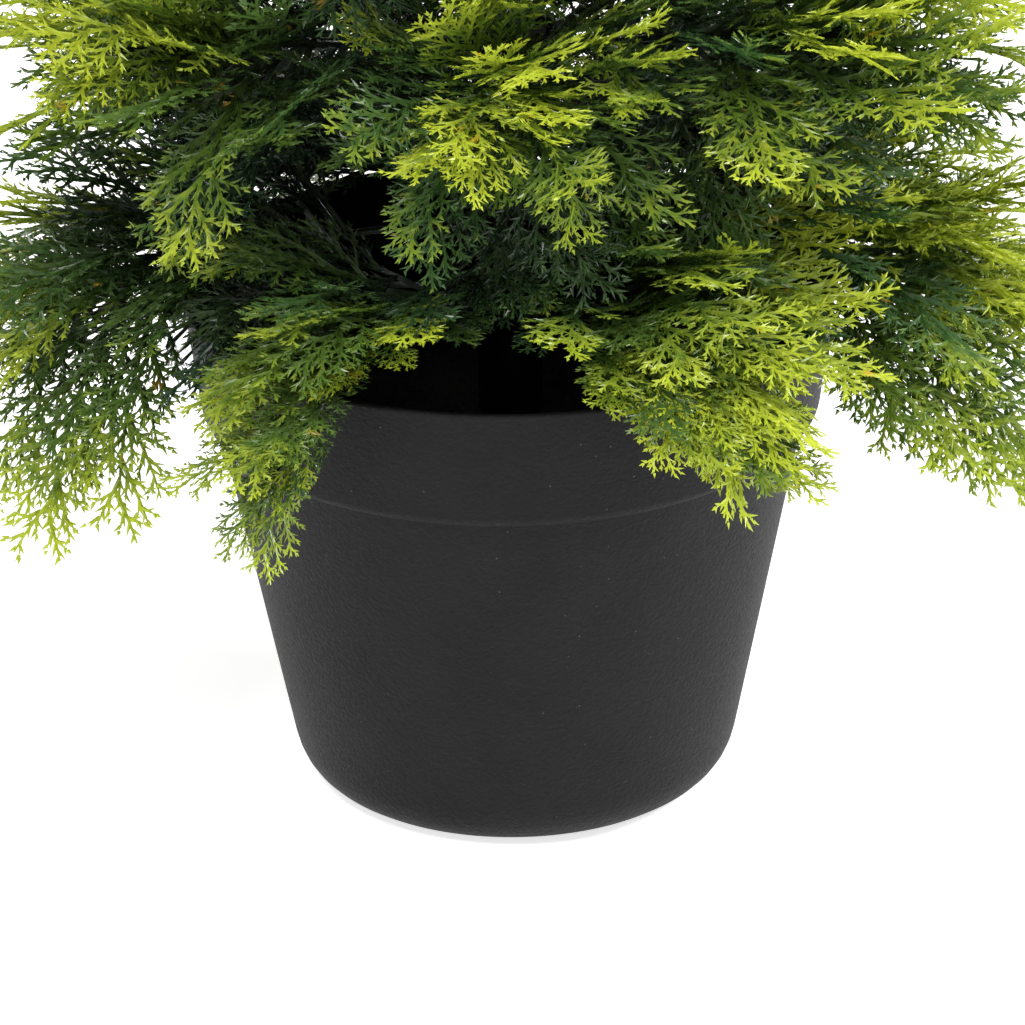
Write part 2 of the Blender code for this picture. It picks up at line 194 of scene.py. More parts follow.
@dataclass(frozen=True)
class MouldedPolyethyleneLeaf:
    """Injection-moulded polyethylene leaves, dyed in two tones: deep green at the root and lime at the tips. The dark
    root colours also paint the shade deep inside the crown.

    The plastic is waxy, so each facet takes a small sharp glint. Two attributes of the mesh steer the colour: "age"
    runs from 0 at a spray's root to 1 at its youngest tips, moved for each spray by its youth and its painted light,
    and "cast" is one spray's own dye batch.
    """

    # The root colours are dark partly as painted shade: they stand for the shade between the sprays deep in the crown.
    root_cool: str = "#1C2F1E"
    root_warm: str = "#232F12"
    middle_cool: str = "#3B5E33"
    middle_warm: str = "#5F7720"
    tip_cool: str = "#A0B22A"
    tip_warm: str = "#BAC63A"
    amber: str = "#C79A2C"
    mottle_mm: float = 5.0
    amber_mm: float = 12.0
    roughness: float = 0.30

    def material(self) -> Material:
        """Build the material: two ramps along the spray, mixed by dye batch, with mottling and rare amber spots."""
        material, add, place = start_material("moulded_polyethylene_leaf")
        age = add("Attribute", attribute_name="age").outputs["Fac"]
        cast = add("Attribute", attribute_name="cast").outputs["Fac"]
        mottle = add("TexNoise", {"Vector": place, "Scale": per_metre(self.mottle_mm), "Detail": 2.0}).outputs["Fac"]
        shift = add("MapRange", {"Value": mottle, 1: 0.3, 2: 0.7, 3: -0.12, 4: 0.12})
        ripe = add("Math", {0: age, 1: shift.outputs[0]}, operation="ADD").outputs[0]
        cool, warm = (
            add("ValToRGB", {"Fac": ripe}, ramp=[(share, linear(tone)) for share, tone in stops]).outputs["Color"]
            for stops in (
                ((0.08, self.root_cool), (0.50, self.middle_cool), (0.92, self.tip_cool)),
                ((0.08, self.root_warm), (0.50, self.middle_warm), (0.86, self.tip_warm)),
            )
        )
        dyed = add("Mix", {"Factor": cast, "A": cool, "B": warm}, data_type="RGBA").outputs["Result"]
        spots = add("TexNoise", {"Vector": place, "Scale": per_metre(self.amber_mm), "Detail": 1.0}).outputs["Fac"]
        amber = add("MapRange", {"Value": spots, 1: 0.74, 2: 0.80, 3: 0.0, 4: 0.7}).outputs[0]
        colour = add("Mix", {"Factor": amber, "A": dyed, "B": linear(self.amber)}, data_type="RGBA").outputs["Result"]
        shine = (self.roughness - 0.08, self.roughness + 0.08)
        rough = add("MapRange", {"Value": mottle, 1: 0.3, 2: 0.7, 3: shine[0], 4: shine[1]}).outputs[0]
        finish = {"Base Color": colour, "Roughness": rough, "IOR": 1.51, "Specular IOR Level": 0.36}
        add("OutputMaterial", {"Surface": add("BsdfPrincipled", finish).outputs["BSDF"]})
        return material


class Relief(Enum):
    """How a plain finish is worked: the pattern that its bump and its tint follow."""

    CAST = "cast"
    FOAMED = "foamed"
    COATED = "coated"
    DRAWN = "drawn"


@dataclass(frozen=True)
class PlainFinish:
    """A finish of one colour, varied and embossed by one relief at its real scale."""

    name: str
    colour: str
    second_colour: str
    relief: Relief
    grain_mm: float
    depth_mm: float
    roughness: float
    metallic: float = 0.0
    ior: float = 1.5

    def material(self) -> Material:
        """Build the material: the relief gives the tint, the bump and the roughness."""
        material, add, place = start_material(self.name)
        if self.relief is Relief.DRAWN:
            place = add("Mapping", {"Vector": place, "Scale": (1.0, 1.0, 0.05)}).outputs["Vector"]
        coordinates = {"Vector": place, "Scale": per_metre(self.grain_mm)}
        if self.relief is Relief.FOAMED:
            pattern = add("TexVoronoi", {**coordinates, "Randomness": 1.0}).outputs["Distance"]
        else:
            pattern = add("TexNoise", {**coordinates, "Detail": 5.0, "Roughness": 0.6}).outputs["Fac"]
        tint = add("ValToRGB", {"Fac": pattern}, ramp=[(0.25, linear(self.colour)), (0.75, linear(self.second_colour))])
        bump = add("Bump", {"Strength": 0.6, "Distance": self.depth_mm / 1000.0, "Height": pattern})
        shine = (self.roughness * 0.85, min(1.0, self.roughness * 1.15))
        rough = add("MapRange", {"Value": pattern, 1: 0.2, 2: 0.8, 3: shine[0], 4: shine[1]})
        finish: Sockets = {
            "Base Color": tint.outputs["Color"],
            "Roughness": rough.outputs[0],
            "Metallic": self.metallic,
            "Normal": bump.outputs["Normal"],
        }
        if self.metallic == 0.0:
            finish["IOR"] = self.ior
        add("OutputMaterial", {"Surface": add("BsdfPrincipled", finish).outputs["BSDF"]})
        return material


# Portland cement poured wet: pale, dusty and pitted.
CEMENT = PlainFinish("cast_cement", "#8E8A84", "#A8A49C", Relief.CAST, 6.0, 0.5, 0.9)
# Open-cell floral foam, dyed black: tiny pits that swallow the light. Its near-black colour also paints the deep shade
# inside the pot.
FOAM = PlainFinish("floral_foam", "#060606", "#0E0E0E", Relief.FOAMED, 1.8, 0.8, 0.85)
# Powder-coated steel tube: dark with a fine orange peel.
POLE_COAT = PlainFinish("powder_coated_steel", "#191A1A", "#232424", Relief.COATED, 1.2, 0.05, 0.42)
# Extruded polyethylene tube: black and wet-looking, with faint lines along it.
TUBE = PlainFinish("extruded_polyethylene", "#080808", "#101010", Relief.DRAWN, 0.9, 0.03, 0.16)
# Moulded ABS: black with a satin skin.
ABS = PlainFinish("moulded_abs", "#0E0E0F", "#151516", Relief.COATED, 0.9, 0.03, 0.3, ior=1.54)
# Drawn steel wire: bright, with lines along it.
WIRE = PlainFinish("drawn_steel_wire", "#8C8C8E", "#A6A6A8", Relief.DRAWN, 0.4, 0.01, 0.3, metallic=1.0)
# Dip-coated branch wire: a waxy skin of very dark green polyethylene.
STEM_SKIN = PlainFinish("dip_coated_wire", "#10160D", "#1C2614", Relief.COATED, 2.0, 0.08, 0.2)
# Matt paper: near white.
BACKDROP = PlainFinish("matt_backdrop_paper", "#F6F6F6", "#FAFAFA", Relief.COATED, 40.0, 0.01, 0.9)


# --- Surfaces ---


@dataclass
class Skin:
    """Triangles worked out as whole arrays, with the attributes that steer the leaf colours."""

    points: Floats
    triangles: Ints
    age: Floats
    cast: Floats

    @staticmethod
    def joined(parts: list["Skin"]) -> "Skin":
        """Put several skins into one.

        Args:
            parts: The skins, with triangles that count from each one's own first point.

        Returns:
            One skin.
        """
        starts = np.cumsum([0] + [len(part.points) for part in parts[:-1]])
        triangles = [part.triangles + start for part, start in zip(parts, starts)]
        points, age, cast = (np.concatenate([getattr(p, name) for p in parts]) for name in ("points", "age", "cast"))
        return Skin(points, np.concatenate(triangles), age, cast)


def unit(vectors: Floats) -> Floats:
    """Scale each vector to length 1: v / |v|."""
    return vectors / np.maximum(np.linalg.norm(vectors, axis=-1, keepdims=True), 1e-12)


def mesh_object(name: str, points: Floats, faces: Ints, smooth: bool) -> Object:
    """Make a mesh object from arrays.

    Args:
        name: The object's name.
        points: Its vertices, in metres.
        faces: Vertex numbers, one row for each face.
        smooth: Whether its faces are shaded smooth.

    Returns:
        The object, at the origin, linked to the scene.
    """
    count, corners = faces.shape
    mesh = bpy.data.meshes.new(name)
    mesh.vertices.add(len(points))
    mesh.vertices.foreach_set("co", np.ascontiguousarray(points, np.float32).ravel())
    mesh.loops.add(count * corners)
    mesh.loops.foreach_set("vertex_index", np.ascontiguousarray(faces, np.int32).ravel())
    mesh.polygons.add(count)
    mesh.polygons.foreach_set("loop_start", np.arange(0, count * corners, corners, dtype=np.int32))
    mesh.polygons.foreach_set("use_smooth", np.full(count, smooth))
    mesh.update(calc_edges=True)
    mesh.validate()
    piece = bpy.data.objects.new(name, mesh)
    bpy.context.scene.collection.objects.link(piece)
    return piece


def skin_object(name: str, skin: Skin) -> Object:
    """Make a flat-shaded mesh object from a skin, with its "age" and "cast" attributes."""
    piece = mesh_object(name, skin.points, skin.triangles, False)
    for label, values in (("age", skin.age), ("cast", skin.cast)):
        layer = piece.data.attributes.new(label, "FLOAT", "POINT")
        layer.data.foreach_set("value", np.ascontiguousarray(values, np.float32))
    return piece


def tube_faces(rings: int, sides: int) -> Ints:
    """Triangles of a tube of rings that the two points after the rings close.

    With a = (i, j), b = (i, j + 1), c = (i + 1, j + 1) and d = (i + 1, j), each patch is (a, b, c) and (a, c, d).

    Args:
        rings: How many rings there are.
        sides: Points in each ring.

    Returns:
        The triangles, which face outwards where the rings run anticlockwise round the way that they climb.
    """
    here, after = np.arange(sides), (np.arange(sides) + 1) % sides
    low = (np.arange(rings - 1) * sides)[:, None]
    high, last, end = low + sides, (rings - 1) * sides, np.full(sides, rings * sides)
    corners = (
        (low + here, low + after, high + after),
        (low + here, high + after, high + here),
        (end, after, here),
        (end + 1, last + here, last + after),
    )
    return np.concatenate([np.stack(corner, -1).reshape(-1, 3) for corner in corners])


def turned(profile: Floats, sides: int) -> Mesh:
    """Turn a profile about Z: point (i, j) is (r_i cos a_j, r_i sin a_j, z_i), with a_j = 2 pi j / sides.

    Args:
        profile: Rows of radius and height, from axis to axis, with the solid on their left.
        sides: Steps round the axis.

    Returns:
        Points and outward triangles.
    """
    turn = 2.0 * np.pi * np.arange(sides) / sides
    inner = profile[1:-1]
    heights = np.broadcast_to(inner[:, 1:], (len(inner), sides))
    rings = np.stack([inner[:, :1] * np.cos(turn), inner[:, :1] * np.sin(turn), heights], axis=-1)
    ends = np.array([[0.0, 0.0, profile[0, 1]], [0.0, 0.0, profile[-1, 1]]])
    return np.concatenate([rings.reshape(-1, 3), ends]), tube_faces(len(inner), sides)


def rounded(corners: Floats, radii: Floats, steps: int) -> Floats:
    """Round each corner of an open outline by a quadratic curve, and drop points that all but coincide.

    The curve at a corner c runs from a to b, each r away on one of its sides, as (1 - t)^2 a + 2 t (1 - t) c + t^2 b.

    Args:
        corners: The outline's points.
        radii: Reach r of each inner corner's curve.
        steps: Steps in each curve.

    Returns:
        The rounded outline.
    """
    middle = corners[1:-1]
    reach = radii[:, None]
    before = middle + reach * unit(corners[:-2] - middle)
    after = middle + reach * unit(corners[2:] - middle)
    t = np.linspace(0.0, 1.0, steps + 1)[None, :, None]
    curve = (1 - t) ** 2 * before[:, None] + 2 * t * (1 - t) * middle[:, None] + t**2 * after[:, None]
    outline = np.concatenate([corners[:1], curve.reshape(-1, corners.shape[1]), corners[-1:]])
    apart = np.linalg.norm(np.diff(outline, axis=0), axis=1) > LEAST_STEP
    return outline[np.concatenate([[True], apart])]


def swept(path: Floats, radii: Floats, side: Floats, sides: int) -> Mesh:
    """Carry a circle along a path that stays in one plane, and close both ends with a pole.

    Point (i, j) is path_i + r_i (cos a_j side + sin a_j (tangent_i x side)).

    Args:
        path: The centreline's points.
        radii: The circle's radius at each point.
        side: The unit normal of the path's plane.
        sides: Steps round the circle.

    Returns:
        Points and outward triangles.
    """
    tangent = unit(np.gradient(path, axis=0))
    lift = np.cross(tangent, side)
    turn = 2.0 * np.pi * np.arange(sides) / sides
    ring = np.cos(turn)[None, :, None] * side + np.sin(turn)[None, :, None] * lift[:, None]
    rings = path[:, None] + radii[:, None, None] * ring
    ends = np.stack([path[0] - radii[0] * 0.5 * tangent[0], path[-1] + radii[-1] * 0.5 * tangent[-1]])
    return np.concatenate([rings.reshape(-1, 3), ends]), tube_faces(len(path), sides)[:, ::-1]


def torus(centre: Floats, axis: Floats, radius: float, tube: float, sides: int = 20) -> Mesh:
    """Turn a small circle round an axis: centre + (R + r cos b)(cos a u + sin a v) + r sin b axis.

    Args:
        centre: The torus's centre.
        axis: Its unit axis.
        radius: Radius R of its centreline.
        tube: Radius r of its section.
        sides: Steps round the axis. The section has half as many.

    Returns:
        Points and outward triangles.
    """
    u = unit(np.cross(axis, UP))
    v = np.cross(axis, u)
    across = sides // 2
    a = (2.0 * np.pi * np.arange(sides) / sides)[:, None, None]
    b = (2.0 * np.pi * np.arange(across) / across)[None, :, None]
    points = centre + (radius + tube * np.cos(b)) * (np.cos(a) * u + np.sin(a) * v) + tube * np.sin(b) * axis
    i, j = np.meshgrid(np.arange(sides), np.arange(across), indexing="ij")
    corner = i * across + j
    along = (i + 1) % sides * across + j
    round_ = i * across + (j + 1) % across
    both = (i + 1) % sides * across + (j + 1) % across
    faces = [np.stack([corner, along, both], -1), np.stack([corner, both, round_], -1)]
    return points.reshape(-1, 3), np.concatenate([face.reshape(-1, 3) for face in faces])


# --- Leaf sprays ---


def leaf_points(root: Floats, tip: Floats, normal: Floats, width: Floats, ages: tuple[Floats, Floats]) -> Skin:
    """Make one leaf point for each row: a keeled thorn with a closed three-cornered root and a sharp tip.

    With the direction a, the side b = n x a and the upper way c = a x b, the root's corners stand half a width
    times (b - 0.3 c), 0.6 c and (-b - 0.3 c) from the root.

    Args:
        root: Where each one starts.
        tip: Where each one ends.
        normal: Its upper side.
        width: Its width at its root.
        ages: Leaf age at the roots and at the tips.

    Returns:
        Four points and four triangles for each leaf point.
    """
    along = unit(tip - root)
    side = unit(np.cross(normal, along))
    over = np.cross(along, side)
    half = width[:, None] / 2.0
    corners = [root + half * (side - 0.3 * over), root + 0.6 * half * over, root - half * (side + 0.3 * over)]
    points = np.stack([*corners, tip], axis=1).reshape(-1, 3)
    pattern = np.array([[0, 1, 3], [1, 2, 3], [2, 0, 3], [0, 2, 1]])
    triangles = (4 * np.arange(len(root))[:, None, None] + pattern).reshape(-1, 3)
    age = np.stack([ages[0], ages[0], ages[0], ages[1]], axis=1).ravel()
    return Skin(points, triangles, age, np.zeros(len(points)))


def twig_chain(nodes: Floats, normal: Floats, widths: Floats, ages: Floats) -> Skin:
    """Make one closed three-sided stalk for each row of path points.

    Ring k stands at nodes[:, k], with corners at -30, 90 and 210 degrees from its side b = n x a towards its
    normal n.

    Args:
        nodes: Path points, as stalks by steps by 3.
        normal: Each stalk's upper side.
        widths: Width at each path point.
        ages: Leaf age at each path point.

    Returns:
        Three points for each path point, and six triangles for each step.
    """
    count, steps, _ = nodes.shape
    along = unit(np.gradient(nodes, axis=1))
    side = unit(np.cross(normal[:, None], along))
    over = np.cross(along, side)
    turn = np.radians([-30.0, 90.0, 210.0])
    ring = np.cos(turn)[:, None] * side[:, :, None] + np.sin(turn)[:, None] * over[:, :, None]
    points = (nodes[:, :, None] + widths[:, :, None, None] / 2.0 * ring).reshape(-1, 3)
    one = np.array([[0, 1, 4], [0, 4, 3], [1, 2, 5], [1, 5, 4], [2, 0, 3], [2, 3, 5]])
    body = (3 * np.arange(steps - 1))[:, None, None] + one
    caps = np.array([[0, 2, 1], [3 * steps - 3, 3 * steps - 2, 3 * steps - 1]])
    pattern = np.concatenate([body.reshape(-1, 3), caps])
    triangles = (3 * steps * np.arange(count)[:, None, None] + pattern).reshape(-1, 3)
    return Skin(points, triangles, np.repeat(ages.ravel(), 3), np.zeros(len(points)))


@dataclass
class Growth:
    """Lines that grow in a spray's plane, one row each, and bend at a steady rate.

    At a distance d a line has reached root + d (cos m, sin m, rise), where m = heading + bend d / 2, and its
    course there is heading + bend d. Age adds up along the path from the spray's root.
    """

    root: Floats
    heading: Floats
    bend: Floats
    rise: Floats
    length: Floats
    age: Floats
    ageing: float = 11.5

    def at(self, row: Ints, distance: Floats) -> Floats:
        """Points at a distance along the chosen lines."""
        middle = self.heading[row] + self.bend[row] * distance / 2.0
        return self.root[row] + distance[..., None] * np.stack([np.cos(middle), np.sin(middle), self.rise[row]], -1)

    def buds(self, step: float, first: float, last: float, random: Random) -> tuple[Ints, Ints, Floats]:
        """Places along every line, one each step.

        Args:
            step: Distance between buds.
            first: Distance that stays bare at each line's root.
            last: Distance that stays bare at its tip.
            random: The spray's own random numbers.

        Returns:
            Each bud's line, number on that line and distance from the line's root.
        """
        numbers = np.arange(int(self.length.max() / step) + 1)
        row, number = np.meshgrid(np.arange(len(self.length)), numbers, indexing="ij")
        distance = first + step * (number + random.uniform(-0.16, 0.16, number.shape))
        grown = distance < self.length[row] - last
        return row[grown], number[grown], distance[grown]

    def sprout(self, row: Ints, distance: Floats, swing: Floats, shape: tuple[Floats, Floats, Floats]) -> "Growth":
        """Grow a new line from each chosen place.

        Args:
            row: The line that each one leaves.
            distance: How far along it.
            swing: Angle from that line's course, in radians.
            shape: Each new line's bend, rise and length.

        Returns:
            The new lines.
        """
        bend, rise, length = shape
        course = self.heading[row] + self.bend[row] * distance + swing
        return Growth(self.at(row, distance), course, bend, rise, length, self.age[row] + self.ageing * distance)

    def rods(self, width: float, thin: float, steps: int) -> Skin:
        """Every line as a stalk that narrows from one width to another."""
        rows = np.repeat(np.arange(len(self.length))[:, None], steps, 1)
        share = np.linspace(0.0, 0.97, steps)
        distance = self.length[:, None] * share
        widths = (width + (thin - width) * share) * np.ones((len(rows), 1))
        ages = self.age[:, None] + self.ageing * distance
        return twig_chain(self.at(rows, distance), np.tile(UP, (len(rows), 1)), widths, ages)

    def thorns(self, width: float, random: Random) -> Skin:
        """Every line as one leaf point."""
        row = np.arange(len(self.length))
        normal = UP + random.uniform(-0.45, 0.45, (len(row), 3)) * [1.0, 1.0, 0.0]
        ages = (self.age, self.age + self.ageing * self.length)
        return leaf_points(self.root, self.at(row, self.length), normal, np.full(len(row), width), ages)


@dataclass(frozen=True)
class SprayPattern:
    """One flat fan of cedar foliage: a stalk, side shoots to left and right, twigs on those, and leaf points.

    It lies along +X from the origin with its upper side up. A shoot buds to left and right by turns. Of four buds
    two become twigs and two leaf points, and a twig has leaf points only, like an antler.
    """

    seed: int
    length: float = SPRAY_LENGTH
    stalk_width: float = 0.0026
    shoots: int = 11
    shoot_length: float = 0.033
    shoot_width: float = 0.0018
    shoot_angle: float = 0.78
    shoot_curl: float = -9.0
    bud_step: float = 0.0021
    twig_length: float = 0.0118
    twig_width: float = 0.0016
    twig_angle: float = 0.68
    twig_curl: float = -16.0
    point_length: float = 0.0041
    point_width: float = 0.00135
    point_angle: float = 0.66
    point_curl: float = -40.0
    first_point: float = 0.014
    root_age: float = 0.08

    def build(self) -> Skin:
        """Build the spray's stalk, shoots, twigs and leaf points as one skin."""
        random = np.random.default_rng(self.seed)
        zero = np.zeros(1)
        stalk = Growth(np.zeros((1, 3)), zero, random.uniform(-4.5, 4.5, 1), zero, zero + self.length, zero)
        share = np.linspace(0.15, 0.95, self.shoots) + random.uniform(-0.012, 0.012, self.shoots)
        side = np.where(np.arange(self.shoots) % 2 == 0, 1.0, -1.0)
        envelope = np.interp(share, [0.0, 0.2, 0.42, 0.75, 1.0], [0.45, 0.82, 1.0, 0.72, 0.34])
        length = self.shoot_length * envelope * random.uniform(0.84, 1.12, self.shoots)
        swing = side * self.shoot_angle * (1.0 - 0.42 * share)
        shape = (self.shoot_curl * side, random.uniform(-0.20, 0.28, self.shoots), length)
        shoots = stalk.sprout(np.zeros(self.shoots, int), self.length * share, swing, shape)
        parts = [stalk.rods(self.stalk_width, 0.0008, 9), shoots.rods(self.shoot_width, 0.0006, 4)]
        parts.append(self.points(stalk, self.first_point, random))
        row, number, distance = shoots.buds(self.bud_step, 0.0022, 0.0008, random)
        left = shoots.length[row] - distance
        twig = np.isin(number % 4, (1, 2)) & (left > 0.0036)
        twigs = self.twigs(shoots, row[twig], number[twig], distance[twig], random)
        parts += [twigs.thorns(self.twig_width, random), self.points(twigs, 0.0020, random)]
        parts.append(self.leaves(shoots, row[~twig], number[~twig], distance[~twig], random))
        skin = Skin.joined(parts)
        skin.age = np.clip(skin.age - self.root_age, 0.0, 1.0)
        return skin

    def twigs(self, shoots: Growth, row: Ints, number: Ints, distance: Floats, random: Random) -> Growth:
        """Grow a twig from each chosen bud, shorter towards its shoot's tip."""
        count = len(row)
        side = np.where(number % 2 == 0, 1.0, -1.0)
        left = shoots.length[row] - distance
        length = np.minimum(self.twig_length, 0.42 * left + 0.0030) * random.uniform(0.85, 1.15, count)
        swing = side * (self.twig_angle + random.uniform(-0.12, 0.12, count))
        rise = shoots.rise[row] + random.uniform(-0.22, 0.26, count)
        return shoots.sprout(row, distance, swing, (self.twig_curl * side, rise, length))

    def points(self, lines: Growth, first: float, random: Random) -> Skin:
        """Leaf points along every line, and one at each tip."""
        buds = lines.buds(self.bud_step, first, 0.0006, random)
        tips = (np.arange(len(lines.length)), np.full(len(lines.length), -1), 0.93 * lines.length)
        row, number, distance = (np.concatenate(pair) for pair in zip(buds, tips))
        return self.leaves(lines, row, number, distance, random)

    def leaves(self, lines: Growth, row: Ints, number: Ints, distance: Floats, random: Random) -> Skin:
        """One leaf point at each chosen place, to left and right by turns. Number -1 points straight on."""
        count = len(row)
        side = np.where(number < 0, 0.0, np.where(number % 2 == 0, 1.0, -1.0))
        left = lines.length[row] - distance
        length = np.minimum(self.point_length, 0.5 * left + 0.0019) * random.uniform(0.85, 1.15, count)
        rise = lines.rise[row] + random.uniform(-0.15, 0.25, count)
        swing = side * (self.point_angle + random.uniform(-0.10, 0.10, count))
        grown = lines.sprout(row, distance, swing, (self.point_curl * side, rise, length))
        return grown.thorns(self.point_width, random)


@dataclass
class Placing:
    """Where sprays go: one row each for anchor, direction and upper side, with size, bend and colour."""

    anchor: Floats
    direction: Floats
    normal: Floats
    scale: Floats
    bend: Floats
    # The level of each spray's tip colour: its dye, and for the branches also painted light.
    youth: Floats
    cast: Floats

    def kept(self, rows: NDArray[np.bool_]) -> "Placing":
        """Keep only the chosen rows of every array."""
        return Placing(*(getattr(self, name)[rows] for name in self.__dataclass_fields__))

    def carried(self, points: Floats, rows: Ints) -> Floats:
        """Carry points of a flat spray to the chosen places.

        A spray is bent to an arc in its own upright plane: a point at x with height z goes to
        (sin(k x) / k + z sin(k x), y, (cos(k x) - 1) / k + z cos(k x)) for a bend of k per metre.

        Args:
            points: The flat spray's points.
            rows: The places.

        Returns:
            The carried points, as places by points by 3.
        """
        forward = unit(self.direction[rows])
        normal = unit(self.normal[rows] - np.sum(self.normal[rows] * forward, -1, keepdims=True) * forward)
        across = np.cross(normal, forward)
        local = points[None] * self.scale[rows, None, None]
        bend = np.where(np.abs(self.bend[rows]) < 0.5, 0.5, self.bend[rows])[:, None]
        angle = bend * local[..., 0]
        ahead = np.sin(angle) / bend + local[..., 2] * np.sin(angle)
        above = (np.cos(angle) - 1.0) / bend + local[..., 2] * np.cos(angle)
        return (
            self.anchor[rows, None]
            + ahead[..., None] * forward[:, None]
            + local[..., 1:2] * across[:, None]
            + above[..., None] * normal[:, None]
        )

    def spread(self, patterns: list[Skin]) -> Skin:
        """Copy the patterns to every place in turn.

        Args:
            patterns: The flat sprays that the places take in turn.

        Returns:
            All the sprays as one skin.
        """
        parts = []
        for number, pattern in enumerate(patterns):
            rows = np.arange(number, len(self.anchor), len(patterns))
            if not len(rows):
                continue
            shift = len(pattern.points) * np.arange(len(rows))[:, None, None]
            # Each spray's youth and light moves it along the colour ramp, so the painted light reaches the leaf colours
            # here.
            age = pattern.age[None] * self.youth[rows, None] + 0.16 * (self.youth[rows, None] - 0.6)
            parts.append(
                Skin(
                    self.carried(pattern.points, rows).reshape(-1, 3),
                    (pattern.triangles[None] + shift).reshape(-1, 3),
                    np.clip(age, 0.0, 1.0).ravel(),
                    np.repeat(self.cast[rows], len(pattern.points)),
                )
            )
        return Skin.joined(parts)

    @staticmethod
    def joined(parts: list["Placing"]) -> "Placing":
        """Put the rows of several placings into one."""
        names = Placing.__dataclass_fields__
        return Placing(*(np.concatenate([getattr(part, name) for part in parts]) for name in names))


# --- The tree's parts ---


def hang(piece: Object, material: Material, body: str, node: str, slot: str) -> None:
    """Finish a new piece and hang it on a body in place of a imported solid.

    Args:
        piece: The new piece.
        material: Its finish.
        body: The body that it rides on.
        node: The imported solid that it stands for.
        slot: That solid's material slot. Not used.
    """
    piece.data.materials.append(material)
    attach(piece, body)
    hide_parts(node)
    LOG.info("%s: %d faces", piece.name, len(piece.data.polygons))


def eyed_wire(name: str, path: Floats, radii: Floats, hinge: Floats, side: Floats) -> Object:
    """Build a coated wire with a round eye at its root.

    Args:
        name: The piece's name.
        path: The wire's centreline.
        radii: Its radius at each point.
        hinge: The eye's centre.
        side: The eye's unit axis.

    Returns:
        The piece.
    """
    rod, rod_faces = swept(path, radii, side, 10)
    ring, ring_faces = torus(hinge, side, EYE_RADIUS, EYE_WIRE_RADIUS)
    faces = np.concatenate([rod_faces, ring_faces + len(rod)])
    return mesh_object(name, np.concatenate([rod, ring]), faces, True)


@dataclass(frozen=True)
class Tier:
    """Shape and planting of the branches of one tier. Rise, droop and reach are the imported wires' own."""

    number: int
    rise_deg: float
    droop: float
    reach: float
    sprays: int
    spray_scale: float
    first: float
    last: float
    bend: tuple[float, float]
    lift: float


# The crown's lower edge as (x, height) in millimetres: foliage at (x, y, z) stays above it where
# z + HEM_SLOPE y is more than the edge's height at x.
HEM_SLOPE = 0.458
HEM = [
    (-185, 95), (-145, 79), (-120, 82), (-107, 103), (-94, 119), (-88, 103), (-84, 77), (-74, 66),
    (-64, 84), (-58, 113), (-38, 116), (-30, 132), (14, 129), (22, 116), (40, 103), (55, 90),
    (70, 80), (83, 84), (88, 111), (100, 106), (115, 100), (135, 80), (151, 77), (185, 95),
]
HEM_X, HEM_HEIGHT = np.array(HEM).T / 1000.0
# A hollow in the front of the crown where the trunk shows: its middle's x and z + HEM_SLOPE y, and its radius.
HOLLOW = (-0.043, 0.171, 0.015)
# Sprays of the lowest tier that are bent by hand: share of the wire where each leaves, its tip in millimetres
# and its youth and light, the level of its tip colour. The first ones of a branch weep over the rim and the others
# sweep out above it. Two back branches take the front ones' sprays, mirrored.
TRAINED = {
    "tier_1_branch_1": [
        (0.45, (76, -112, 133), 0.78), (0.40, (67, -118, 141), 0.62), (0.38, (55, -120, 148), 0.84),
        (0.34, (40, -116, 158), 0.56), (0.30, (29, -108, 167), 0.80), (0.42, (82, -98, 138), 0.58),
        (0.15, (88, -40, 196), 0.92), (0.25, (98, -60, 185), 1.00), (0.30, (100, -75, 172), 0.94),
        (0.20, (84, -78, 178), 0.76), (0.35, (98, -98, 163), 0.88),
    ],
    "tier_1_branch_2": [
        (0.60, (146, -55, 104), 0.92), (0.55, (136, -60, 111), 0.74), (0.50, (126, -60, 121), 0.84),
        (0.45, (108, -70, 137), 0.60), (0.66, (152, -38, 108), 0.80), (0.48, (118, -52, 128), 0.66),
        (0.20, (118, -22, 200), 0.96), (0.30, (132, -35, 172), 1.00), (0.40, (148, -35, 158), 0.90),
        (0.15, (105, -45, 190), 0.98), (0.35, (140, -12, 180), 0.86),
    ],
    "tier_1_branch_5": [
        (0.60, (-143, -50, 102), 0.96), (0.54, (-121, -60, 110), 0.88), (0.62, (-133, -54, 112), 0.74),
        (0.66, (-152, -36, 106), 0.84), (0.50, (-114, -56, 126), 0.70),
    ],
    "tier_1_branch_6": [
        (0.58, (-74, -118, 121), 0.90), (0.54, (-80, -112, 123), 0.72), (0.52, (-67, -112, 136), 0.96),
        (0.50, (-76, -128, 149), 0.84), (0.46, (-64, -122, 152), 0.66), (0.56, (-88, -118, 140), 0.78),
    ],
}
MIRRORED = {"tier_1_branch_3": "tier_1_branch_1", "tier_1_branch_4": "tier_1_branch_6"}

TIERS = [
    Tier(1, -2.0, 0.22, 0.172, 32, 0.94, 0.18, 0.56, (3.0, 12.0), 0.05),
    Tier(2, 18.0, 0.14, 0.168, 38, 0.93, 0.14, 0.53, (-6.0, 9.0), 0.0),
    Tier(3, 36.0, 0.12, 0.134, 34, 0.88, 0.14, 0.60, (-6.0, 7.0), 0.0),
    Tier(4, 54.0, 0.14, 0.096, 24, 0.80, 0.12, 0.70, (-3.0, 6.0), 0.0),
]


